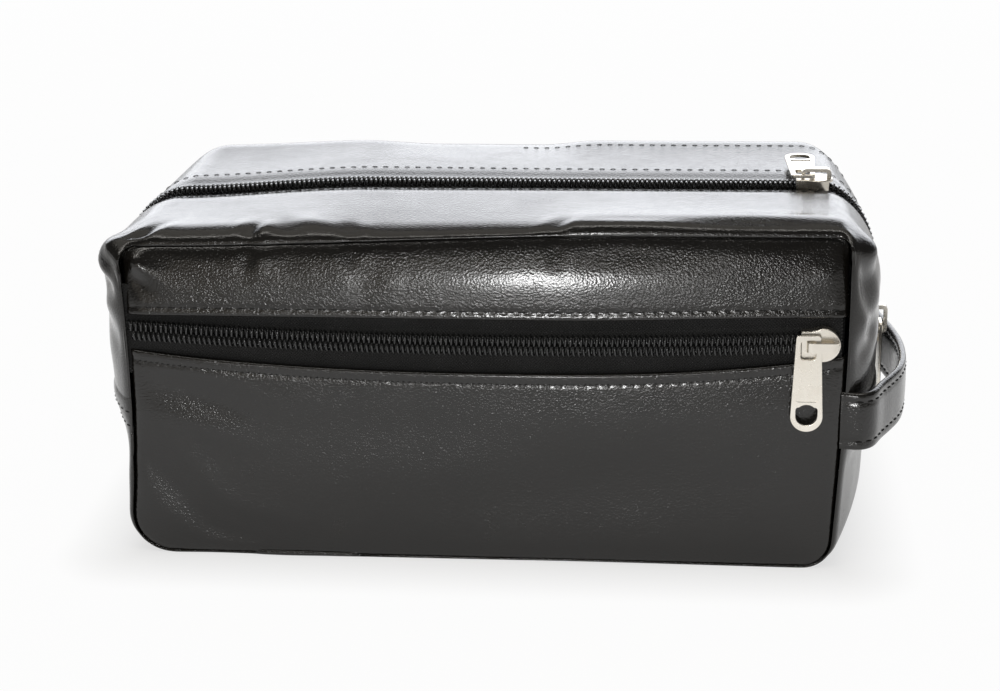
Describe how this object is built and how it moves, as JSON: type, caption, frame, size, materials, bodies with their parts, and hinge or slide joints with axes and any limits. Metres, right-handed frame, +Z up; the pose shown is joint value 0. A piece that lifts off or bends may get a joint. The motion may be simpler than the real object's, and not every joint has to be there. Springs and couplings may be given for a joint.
{
  "type": "toiletry bag",
  "caption": "Boxy black soft toiletry bag with a main zip over the top and down the ends, a front zip pocket and a side strap handle.",
  "frame": {"origin": "middle of the flat base, on the surface that the bag stands on", "axes": "+X along the bag towards the handle end, -Y towards the front pocket, +Z up"},
  "size_m": [0.2919, 0.1388, 0.1286],
  "materials": {
    "leather": "glossy black coated leather with a fine grain",
    "lining": "thin woven black lining",
    "binding": "woven black seam tape",
    "zip_tape": "woven black zip tape",
    "zip_coil": "black nylon coil with a satin shine",
    "nickel": "bright warm nickel plate, a little worn",
    "webbing": "stiff woven webbing"
  },
  "bodies": {
    "bag": {"base_band": "leather", "top_front_strip": "leather", "top_back_strip": "leather", "front_upper_panel": "leather", "front_lower_panel": "leather", "back_panel": "leather", "pocket_lining": "lining", "lining_back": "lining", "lining_base": "lining", "lining_top_front": "lining", "lining_top_back": "lining", "front_seam_binding": "binding", "back_seam_binding": "binding", "front_zip_upper_tape": "zip_tape", "front_zip_lower_tape": "zip_tape", "main_zip_front_tape": "zip_tape", "main_zip_back_tape": "zip_tape", "front_zip_upper_coil": "zip_coil", "front_zip_lower_coil": "zip_coil", "main_zip_front_coil": "zip_coil", "main_zip_back_coil": "zip_coil"},
    "front_slider": {"front_slider_body": "nickel", "front_slider_bridge": "nickel"},
    "front_tab": {"front_pull": "nickel"},
    "top_slider": {"top_slider_body": "nickel", "top_slider_bridge": "nickel"},
    "top_tab": {"top_pull": "nickel"},
    "end_slider": {"end_slider_body": "nickel", "end_slider_bridge": "nickel"},
    "end_tab": {"end_pull": "nickel"},
    "handle": {"handle_strap": "leather", "handle_core": "webbing"}
  },
  "joints": [
    {"name": "front_slider_slide", "type": "slide", "parent": "bag", "child": "front_slider", "axis": [1, 0, 0], "range_m": [-0.228, 0]},
    {"name": "front_tab_swing", "type": "hinge", "parent": "front_slider", "child": "front_tab", "pos_m": [0.113, -0.0697, 0.0838], "axis": [0, 1, 0], "range_deg": [-40, 180]},
    {"name": "top_slider_slide", "type": "slide", "parent": "bag", "child": "top_slider", "axis": [1, 0, 0], "range_m": [-0.234, 0]},
    {"name": "top_tab_swing", "type": "hinge", "parent": "top_slider", "child": "top_tab", "pos_m": [0.113, 0, 0.1263], "axis": [0, 0, 1], "range_deg": [-40, 180]},
    {"name": "end_slider_slide", "type": "slide", "parent": "bag", "child": "end_slider", "axis": [0, 0, 1], "range_m": [0, 0.029]},
    {"name": "end_tab_swing", "type": "hinge", "parent": "end_slider", "child": "end_tab", "pos_m": [0.1433, 0, 0.067], "axis": [1, 0, 0], "range_deg": [-45, 15]},
    {"name": "handle_swing", "type": "hinge", "parent": "bag", "child": "handle", "pos_m": [0.126, 0, 0.0555], "axis": [0, -1, 0], "range_deg": [-10, 8], "stiffness_Nm_per_rad": 0.4}
  ]
}
